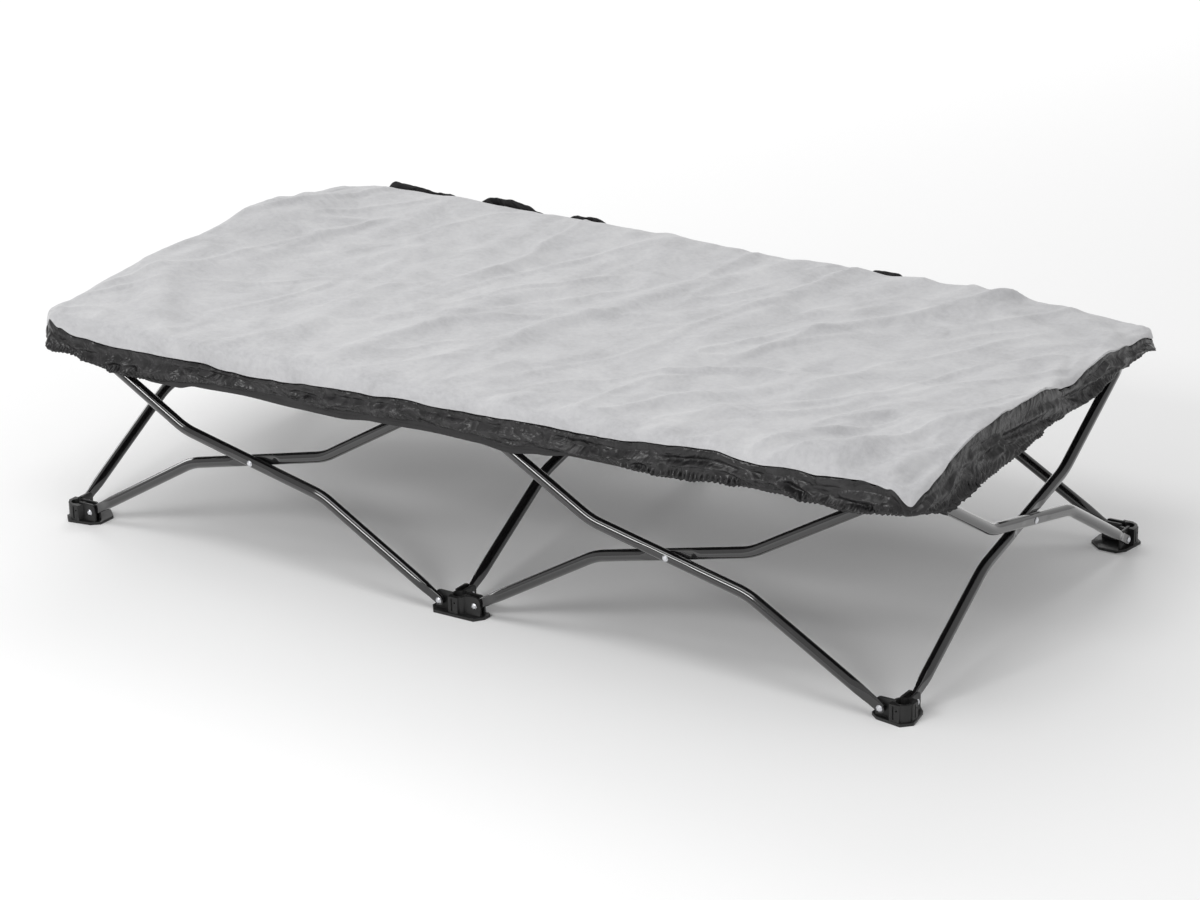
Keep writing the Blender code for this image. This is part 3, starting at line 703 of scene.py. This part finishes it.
def draped_fleece():
    """The fleece as a cloth a little too long for the deck, held at its seam, dropped on a pad."""
    us = graded(168, fine=0.06, share=0.09)
    vs = graded(90, fine=0.11, share=0.15)
    bm = flat_grid(us, vs, lambda u, v: pad_surface(u, v, long_folds(u * BAY, v * HALF)))
    rim = [v.index for v in bm.verts if v.is_boundary]
    sheet = new_object("fleece_sheet", bm)
    sheet.vertex_groups.new(name="seam").add(rim, 1.0, "REPLACE")
    cloth = sheet.modifiers.new("Cloth", "CLOTH")
    springs = {
        "quality": 5, "mass": 0.1, "tension_stiffness": 150, "compression_stiffness": 150,
        "shear_stiffness": 20, "bending_stiffness": 10, "tension_damping": 5,
        "compression_damping": 5, "shear_damping": 5, "bending_damping": 0.5, "air_damping": 1,
        "vertex_group_mass": "seam", "shrink_min": -0.006, "shrink_max": -0.006,
    }
    for setting, value in springs.items():
        setattr(cloth.settings, setting, value)
    cloth.settings.effector_weights.gravity = 0.25
    cloth.collision_settings.distance_min = 0.002
    cloth.collision_settings.use_self_collision = False
    cloth.point_cache.frame_end = SETTLING_FRAMES
    pad_grid = flat_grid(graded(80, 0.06, 0.15), graded(50, 0.1, 0.2), under_fleece)
    pad = new_object("pad", pad_grid)
    pad.modifiers.new("Collision", "COLLISION")
    pad.collision.thickness_outer = 0.001
    pad.collision.cloth_friction = 5
    for number in range(1, SETTLING_FRAMES + 1):
        bpy.context.scene.frame_set(number)
    bm = settled(sheet)
    bpy.data.objects.remove(pad, do_unlink=True)
    bpy.context.scene.frame_set(1)
    return bm


def puckers(x, y):
    """Short folds that the sewing draws in beside the seam, as a height above the surface."""
    to_side = SEWN_SIDE - abs(y)
    to_end = SEWN_END - abs(x)
    if to_side < to_end:
        along, depth = x, to_side
    else:
        along, depth = y + 7, to_end  # far off in the noise, so that the ends have their own
    if depth > PUCKER_REACH:
        return 0.0
    swerved = along + 0.012 * wander(along * 14, depth * 22, 4.0)
    close = wander(swerved * 95, depth * 9, 2.0)
    broad = wander((swerved - 0.4 * depth) * 30, depth * 14, 6.0)
    reach = 0.03 + 0.055 * max(wander(along * 17, 0.0, 12.0) + 0.35, 0)
    fade = math.exp(-depth / reach) * smooth_step(depth / 0.012)
    fade *= smooth_step(abs(to_side - to_end) / 0.04)
    at_front = to_side < to_end and y < 0
    strength = mix(0.5, 1.0, smooth_step((x + 0.25) / 0.4)) if at_front else 0.35
    return strength * fade * (PUCKER_CLOSE * close + PUCKER_BROAD * broad)


def crests(x, y):
    """Thin soft crests left where the fleece has been folded, on top of what the drape gives."""
    swerve = 0.035 * wander(x * 5, y * 5, 1.7) + 0.012 * wander(x * 17, y * 17, 6.0)
    across, along = slanted_frame(x + swerve, y, 17)
    long_one = 1 - min(abs(wander(across * 8.5, along * 1.5, 13.0)) * 6.5, 1.0)
    short_one = 1 - min(abs(wander(across * 15 - along * 4, along * 4.5, 23.0)) * 6.0, 1.0)
    patch = 0.55 + 0.9 * wander(x * 4.2, y * 4.2, 41.0)
    other = 0.5 + 0.9 * wander(x * 5.5, y * 5.5, 47.0)
    soft = wander(x * 26, y * 20, 53.0)
    near_front = smooth_step((-y - 0.04) / 0.16)
    stronger = 1 + smooth_step((x + 0.1) / 0.3) * (0.35 + 0.55 * near_front)
    ridges = CREST_LONG * long_one**1.5 * max(patch, 0)
    ridges += CREST_SHORT * short_one**1.5 * max(other, 0)
    return stronger * (ridges + CREST_SOFT * soft)


FAR = 9.0  # past every edge
CLOTH_CUTS = (-FOLD_AT, 0.0, FOLD_AT)
CLOTH_PARTS = (
    ("front_edge", -FAR, -FOLD_AT, "hub_front_middle"),
    ("front_half", -FOLD_AT, 0.0, "cloth_front_half"),
    ("back_half", 0.0, FOLD_AT, "cloth_back_half"),
    ("back_edge", FOLD_AT, FAR, "hub_back_middle"),
)
KEEP_LENGTH = 0.2934  # share of its length along the bed that the cloth keeps when folded
KEEP_WIDTH = 0.3157
NORMAL_LAYER = "whole_normal"


def cloth_shell(bm, thickness):
    """Gives a one-sided cloth its underside, keeping the whole cloth's normals on its face."""
    whole = bm.verts.layers.float_vector[NORMAL_LAYER]
    grown = bmesh.ops.extrude_face_region(bm, geom=bm.faces[:], use_keep_orig=True)["geom"]
    for vert in (v for v in grown if isinstance(v, bmesh.types.BMVert)):
        vert.co = vert.co - vert[whole] * thickness
        vert[whole] = Vector()
    bmesh.ops.recalc_face_normals(bm, faces=bm.faces)


def drop_normals(obj):
    """Takes off the stored normals, once the cloth has its underside."""
    obj.data.attributes.remove(obj.data.attributes[NORMAL_LAYER])


def keep_normals(obj):
    """Shades the cloth's face with the stored normals, so that no line shows at a parting."""
    mesh = obj.data
    stored = mesh.attributes[NORMAL_LAYER].data
    wanted = [Vector()] * len(mesh.loops)
    for face in mesh.polygons:
        corners = [stored[mesh.loops[k].vertex_index].vector for k in face.loop_indices]
        if all(c.length > 0.5 for c in corners):
            for k, corner in zip(face.loop_indices, corners):
                wanted[k] = Vector(corner)
    mesh.normals_split_custom_set(wanted)
    drop_normals(obj)


def lay_flat(bm, laid):
    """Gives each vertex its place on the cloth laid flat, as its UV."""
    uv = bm.loops.layers.uv.new("cloth")
    for face in bm.faces:
        for corner in face.loops:
            corner[uv].uv = laid(corner.vert)


def unrolled(vert):
    """Place on the whole deck or fleece laid flat, with what turns down at the edges laid out."""
    x, y, z = vert.co
    drop = max(PAD_TOP - z, 0)
    to_side = max(SEWN_SIDE - abs(y), WELD)
    to_end = max(SEWN_END - abs(x), WELD)
    share = to_end / (to_side + to_end)
    return x + math.copysign(drop * (1 - share), x), y + math.copysign(drop * share, y)


def parted_cloth(bm, prefix, slot, thickness, stand_for):
    """Parts a cloth that covers the bed at its folding lines; each part follows its body."""
    for cut in CLOTH_CUTS:
        geom = bm.verts[:] + bm.edges[:] + bm.faces[:]
        bmesh.ops.bisect_plane(bm, geom=geom, plane_co=(0, cut, 0), plane_no=(0, 1, 0))
    bm.normal_update()
    whole = bm.verts.layers.float_vector.new(NORMAL_LAYER)
    for vert in bm.verts:
        faces_up = vert.normal.z > 0 or abs(vert.normal.z) < 0.5
        vert[whole] = vert.normal if faces_up else -vert.normal
    lay_flat(bm, unrolled)
    for name, low, high, body in CLOTH_PARTS:
        part = bm.copy()
        away = [f for f in part.faces if not low < f.calc_center_median().y < high]
        bmesh.ops.delete(part, geom=away, context="FACES")
        cloth_shell(part, thickness)
        obj = piece(f"{prefix}_{name}", part, slot, body)
        keep_normals(obj)
        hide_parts(f"{stand_for}_{name}")
        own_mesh(obj)
    bm.free()


def make_fleece():
    """The draped fleece, softened, made finer, and given its puckers and crests."""
    bm = draped_fleece()
    inside = [v for v in bm.verts if not v.is_boundary]
    every_way = {"use_axis_x": True, "use_axis_y": True, "use_axis_z": True}
    for _ in range(2):
        bmesh.ops.smooth_vert(bm, verts=inside, factor=0.5, **every_way)
    sheet = new_object("fleece_smooth", bm)
    finer = sheet.modifiers.new("finer", "SUBSURF")
    finer.levels = finer.render_levels = 1
    finer.boundary_smooth = "PRESERVE_CORNERS"
    bm = settled(sheet)
    bm.normal_update()
    for vert in bm.verts:
        x, y = vert.co.x, vert.co.y
        clear = smooth_step(min(SEWN_SIDE - abs(y), SEWN_END - abs(x)) / 0.022)
        vert.co = vert.co + vert.normal * (puckers(x, y) + crests(x, y) * clear)
        vert.co.z -= TOP_EASE_SHARE * max(vert.co.z - TOP_EASE, 0)
    parted_cloth(
        bm, "microfleece", "fleece_grey", FLEECE_THICKNESS, "fleece"
    )


DECK_REACH = 0.0168  # past the hubs' line
DECK_THICKNESS = 0.0016
DECK_SAG = 0.0012
DECK_TURN_DOWN = 0.0035


def make_deck():
    """The taut woven panel: nearly flat, with a slight sag between the hubs."""

    def shape(u, v):
        x, y = rounded(u * (BAY + DECK_REACH), v * (HALF + DECK_REACH))
        sag = DECK_SAG * math.cos(QUARTER * v) * abs(math.sin(math.pi * x / BAY))
        out = max(abs(x) - BAY, abs(y) - HALF)
        edge = DECK_TURN_DOWN * smooth_step((out - 0.0145) / 0.0023)
        return Vector((x, y, DECK_TOP - sag - edge))

    panel = flat_grid(graded(96, 0.03, 0.1), graded(56, 0.06, 0.14), shape)
    parted_cloth(
        panel, "deck_weave", "deck_black", DECK_THICKNESS, "deck"
    )


STITCH = 0.0034  # from one stitch to the next
STITCH_SIZE = (0.0012, 0.0003, 0.0003)
STITCH_OUT = 0.0174  # from the hubs' line
VALANCE_OUT = 0.0165
VALANCE_THICKNESS = 0.0007
VALANCE_WAVE = 0.0006
HEM_FOLD, HEM_EDGE = 0.0007, 0.0005  # where the cloth is turned up, and at its very edge
VALANCE_ROWS = (0.0, 0.15, 0.3, 0.45, 0.6, 0.64, 0.68, 0.75, 0.82, 0.89, 0.93, 0.97, 1.0)
HEM_ROWS = (0.7, 0.88)  # where the two rows of stitches run, as a share of the height


def stitch_rows(side):
    """The valance's two rows of stitches, each stitch a short slim bead."""
    bm = bmesh.new()
    for share in HEM_ROWS:
        for k in range(int(2 * BAY / STITCH) - 2):
            x = -BAY + STITCH * (k + 1)
            z = mix(DECK_TOP - 0.0016, curve_through(VALANCE_LOW, x), share)
            spot = Matrix.Translation((x, side * (HALF + STITCH_OUT), z))
            spot = spot @ Matrix.Diagonal((*STITCH_SIZE, 1))
            bmesh.ops.create_icosphere(bm, subdivisions=1, radius=1.0, matrix=spot)
    return bm


def make_valance(name, side, body):
    """One of the deck's long hems, turned up twice and sewn with two rows of stitches."""

    def shape(x, t):
        z = mix(DECK_TOP - 0.0032, curve_through(VALANCE_LOW, x), t)
        hem = HEM_FOLD * smooth_step((t - 0.62) / 0.05)
        hem -= HEM_EDGE * smooth_step((t - 0.95) / 0.05)
        wave = VALANCE_WAVE * wander(x * 16, t * 2, side * 3.0)
        return Vector((x, side * (HALF + VALANCE_OUT + hem + wave * t), z))

    bm = flat_grid([mix(-BAY, BAY, k / 260) for k in range(261)], VALANCE_ROWS, shape)
    whole = bm.verts.layers.float_vector.new(NORMAL_LAYER)
    for vert in bm.verts:
        vert[whole] = Vector((0, side, 0))
    lay_flat(bm, lambda vert: (vert.co.x, vert.co.z))
    cloth_shell(bm, VALANCE_THICKNESS)
    obj = piece(f"valance_{name}", bm, "deck_black", body, smooth_under=50)
    drop_normals(obj)
    thread = piece(f"valance_{name}_stitches", stitch_rows(side), "deck_black", body)
    for soft in (obj, thread):
        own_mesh(soft)


# Skirt

SKIRT_BASE = 0.0192  # from the hubs' line to the skirt at rest
SKIRT_INNER = 0.0182  # it never comes nearer than this,
HEM_INNER = 0.0168  # or than this at its hem
SKIRT_THICKNESS = 0.0008
SKIRT_OVERLAP = 0.001  # of neighbouring lengths at a corner
SKIRT_COLUMN = 0.0012
SKIRT_ROWS = [0.0, 0.015, 0.04, 0.08, 0.13, 0.18, 0.23, 0.27, 0.295, 0.32, 0.36]
SKIRT_ROWS += [0.36 + 0.64 * k / 24 for k in range(1, 25)]
SKIRT_SEED = {"front": 1.0, "right": 21.0, "back": 41.0, "left": 61.0}
BAND = 0.3  # share of the skirt's height taken by the folded binding at the seam
SEWN_UNDER = 0.0016  # the skirt starts this far below the fleece's seam
BAND_OUT = 0.0024
SWELL, SWELL_CHANGE = 0.002, 0.0034
CRUSH = {"front": 0.0034, "right": 0.002, "back": 0.002, "left": 0.002}
CRUSH_SLANTED = 0.007
CRUSH_CALMED = {"front": 1.0, "right": 1.0, "back": 0.6, "left": 1.0}
RUFFLE = 0.0062  # from one small gather at the hem to the next
RUFFLE_OUT, RUFFLE_RISE = 0.0042, 0.0014
HEM_DRAWN_IN = 0.0034
HEM_WANDER = 0.0016
LIP_OUT = 0.0022  # past the fleece's edge


def skirt_line(side_length, other_half, distance, reach):
    """Centre and outward direction at a distance along one side and half of each corner."""
    corner = reach * QUARTER / 2
    half = side_length / 2
    if distance < corner:
        angle = -QUARTER - QUARTER / 2 + distance / reach
        return Vector((-half, -other_half)), Vector((math.cos(angle), math.sin(angle)))
    if distance > corner + side_length:
        angle = -QUARTER + (distance - corner - side_length) / reach
        return Vector((half, -other_half)), Vector((math.cos(angle), math.sin(angle)))
    return Vector((distance - corner - half, -other_half)), Vector((0, -1))


def gathering(side, along):
    """How strongly the elastic draws the hem in, from 0 to 1, at a place along a side."""
    if side == "front":
        left = smooth_step((-0.37 - along) / 0.06) * 0.8
        return max(left, smooth_step((along - 0.2) / 0.06), 0.12)
    if side == "right":
        return max(smooth_step((-0.1 - along) / 0.08), 0.35)
    return 0.6 + 0.3 * math.sin(along * 11 + 1)


def crumple(a, b, seed):
    """Crushed nylon: sharp valleys between smooth facets, about -1 to 1."""
    swerve = [wander(a * 0.6, b * 0.6, seed + more) for more in (9, 4)]
    at = Vector((a, b, seed)) + Vector((*swerve, 0)) * 0.9
    big = abs(noise.noise(at))
    small = abs(noise.noise(at * 2.3 + Vector((7, 3, 0))))
    return 1 - 2.6 * big - 0.9 * small


def skirt_piece(side, side_length, other_half, turn, body, stand_for, squash_axis, anchor, keep):
    """One side's length of the skirt, from the middle of a corner to the middle of the next."""
    seed = SKIRT_SEED[side]
    total = side_length + SKIRT_BASE * QUARTER
    spin = Matrix.Rotation(turn, 2)
    calm = CRUSH_CALMED[side]

    def upright(share):
        """Distance along, seam, top and hem of the skirt at a share of its length."""
        distance = share * (total + 2 * SKIRT_OVERLAP) - SKIRT_OVERLAP
        centre, out = skirt_line(side_length, other_half, distance, SKIRT_BASE)
        flat = spin @ (centre + out * SKIRT_BASE)
        along = flat.x if side in ("front", "back") else flat.y
        sewn = curve_through(SEAM[side], along) - SEWN_UNDER
        top = max(sewn, curve_through(BACK_LIP, along)) if side == "back" else sewn
        return distance, centre, out, flat, along, sewn, top, curve_through(HEM[side], along)

    def laid(share, t):
        """Place on the skirt laid flat."""
        distance, *_, top, low = upright(share)
        return distance, t * (top - low)

    def shape(share, t):
        distance, centre, out, flat, along, sewn, top, low = upright(share)
        down = t * (top - low)
        below = max(t - BAND, 0) / (1 - BAND)
        pull = gathering(side, along)
        ends = smooth_step(min(distance, total - distance) / 0.012)

        # the binding at the seam, and the swell of the skirt below it
        band = math.sin(math.pi * min(t / BAND, 1.0)) ** 0.7 if t < BAND else 0.0
        band *= smooth_step(0.75 + 1.6 * wander(distance * 11, 3, seed))
        depth = BAND_OUT * band * (0.8 + 0.5 * wander(distance * 14, 1, seed)) * ends
        puff = math.sin(math.pi * below**0.85)
        swell = SWELL + SWELL_CHANGE * wander(distance * 9, 0, seed) * ends

        # creases
        crush = crumple(distance * 24, down * 44, seed)
        slanted = crumple(distance * 9 + down * 16, down * 44 - distance * 6, seed + 2)
        crushed = calm * (CRUSH[side] * crush + CRUSH_SLANTED * slanted)
        crushed *= 1 - 0.6 * smooth_step((below - 0.8) / 0.2)
        depth += crushed * smooth_step((t - 0.17) * 3)

        # gathers at the hem, drawn in by the elastic
        phase = distance * math.pi / RUFFLE + 3.2 * wander(distance * 42, 0, seed + 6)
        strong = 0.45 + 1.4 * abs(wander(distance * 60, 0, seed + 7))
        near_hem = smooth_step((below - 0.45) / 0.25)
        gather = (2.2 * abs(math.sin(phase)) - 1.4) * strong * near_hem
        depth += RUFFLE_OUT * pull * gather
        depth -= HEM_DRAWN_IN * pull * smooth_step((below - 0.72) / 0.28)
        inner = HEM_INNER if below > 0.8 else SKIRT_INNER
        depth = max(SKIRT_BASE + 0.0004 + swell * puff + depth * ends, inner)

        # where the back stands up, it covers the fleece's edge
        lip = smooth_step((top - sewn) / 0.004)
        lip *= 1 - smooth_step((down - top + sewn - 0.002) / 0.006)
        depth = max(depth, mix(depth, FLEECE_OUT + LIP_OUT, lip))

        wave = seam_wave(flat.x, flat.y) * (1 - smooth_step(t / 0.16))
        shift = RUFFLE_RISE * pull * (0.6 - abs(math.sin(phase))) * strong * near_hem
        shift += HEM_WANDER * wander(distance * 45, 0, seed + 8) * below
        spot = spin @ (centre + out * depth)
        return Vector((spot.x, spot.y, top + wave - down + shift * ends))

    columns = int(total / SKIRT_COLUMN)
    places = {}
    bm = flat_grid([k / columns for k in range(columns + 1)], SKIRT_ROWS, shape, places)
    lay_flat(bm, lambda vert: laid(*places[vert]))
    whole = bm.verts.layers.float_vector.new(NORMAL_LAYER)
    for vert in bm.verts:
        centre = Vector((max(-BAY, min(BAY, vert.co.x)), max(-HALF, min(HALF, vert.co.y))))
        vert[whole] = (vert.co.xy - centre).normalized().to_3d()
    cloth_shell(bm, SKIRT_THICKNESS)
    obj = piece(f"nylon_skirt_{side}", bm, "skirt_black", body)
    drop_normals(obj)
    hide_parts(stand_for)
    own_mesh(obj)
    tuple(squash_axis)
    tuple(anchor)


def make_skirt():
    along, across = (1, 0, 0), (0, 1, 0)
    middle = (0, 0, DECK_TOP)
    front_end = (0, -HALF - SKIRT_BASE, DECK_TOP)
    for side, length, other_half, turn, hub, squashed in (
        ("front", 2 * BAY, HALF, 0.0, "hub_front_middle", (along, middle, KEEP_LENGTH)),
        ("back", 2 * BAY, HALF, math.pi, "hub_back_middle", (along, middle, KEEP_LENGTH)),
        ("right", BAY, BAY, QUARTER, "hub_front_right", (across, front_end, KEEP_WIDTH)),
        ("left", BAY, BAY, -QUARTER, "hub_front_left", (across, front_end, KEEP_WIDTH)),
    ):
        skirt_piece(side, length, other_half, turn, hub, f"skirt_{side}", *squashed)


# Studio


def aim_camera():
    """The photograph's own view, fitted to the feet, crossings and rivets."""
    camera = bpy.data.objects.new("camera", bpy.data.cameras.new("camera"))
    right = Vector((0.84292, 0.53775, -0.01786))
    up = Vector((-0.17850, 0.31082, 0.93356))
    forward = Vector((-0.50757, 0.78372, -0.35799))
    turned = Matrix((right, up, -forward)).transposed().to_4x4()
    camera.matrix_world = Matrix.Translation((2.13261, -3.27798, 1.60516)) @ turned
    camera.data.lens = 103.03
    camera.data.sensor_width = 36.0
    camera.data.clip_end = 60.0
    bpy.context.scene.collection.objects.link(camera)
    bpy.context.scene.camera = camera


def softbox(name, position, target, size, power):
    """A rectangular lamp, aimed at its target."""
    lamp = bpy.data.lights.new(name, "AREA")
    lamp.shape = "RECTANGLE"
    lamp.size, lamp.size_y = size
    lamp.energy = power
    obj = bpy.data.objects.new(name, lamp)
    aim = (Vector(target) - Vector(position)).to_track_quat("-Z", "Y").to_matrix().to_4x4()
    obj.matrix_world = Matrix.Translation(position) @ aim
    bpy.context.scene.collection.objects.link(obj)


def build_studio():
    """White paper floor, white surroundings and four soft lamps."""
    floor = bmesh.new()
    bmesh.ops.create_grid(floor, x_segments=1, y_segments=1, size=12.0)
    ground = new_object("studio_floor", floor)
    ground.data.materials.append(finish_named("paper_white", "#FAFAFA", 0.9)[0])
    world = bpy.data.worlds.new("studio")
    world.use_nodes = True
    background = world.node_tree.nodes["Background"].inputs
    background["Color"].default_value = (1, 1, 1, 1)
    background["Strength"].default_value = 0.58
    bpy.context.scene.world = world
    softbox("overhead", (0.2, -1.1, 3.2), (0, 0, 0.2), (2.0, 1.2), 20)
    softbox("window_left", (-3.2, 0.4, 1.2), (0, 0, 0.2), (1.4, 0.9), 13)
    softbox("front_strip", (-0.3, -3.1, 2.05), (0, 0, 0.2), (1.8, 0.6), 42)
    softbox("backdrop_wash", (-1.9, 3.5, 3.0), (-1.7, 3.2, 0), (3.0, 2.0), 62)
    bpy.context.scene.view_settings.view_transform = "Standard"
    bpy.context.scene.view_settings.look = "None"


aim_camera()
build_studio()

# the solids that still show take their finishes by the record's slots
for part in frame["record"]["subparts"]:
    for holder in frame["nodes"][part["node"]].material_slots:
        holder.material = FINISH[part["material_slot"]]

make_tubes()
make_feet()
make_deck()
make_valance("front", -1, "hub_front_middle")
make_valance("back", 1, "hub_back_middle")
make_skirt()
make_fleece()
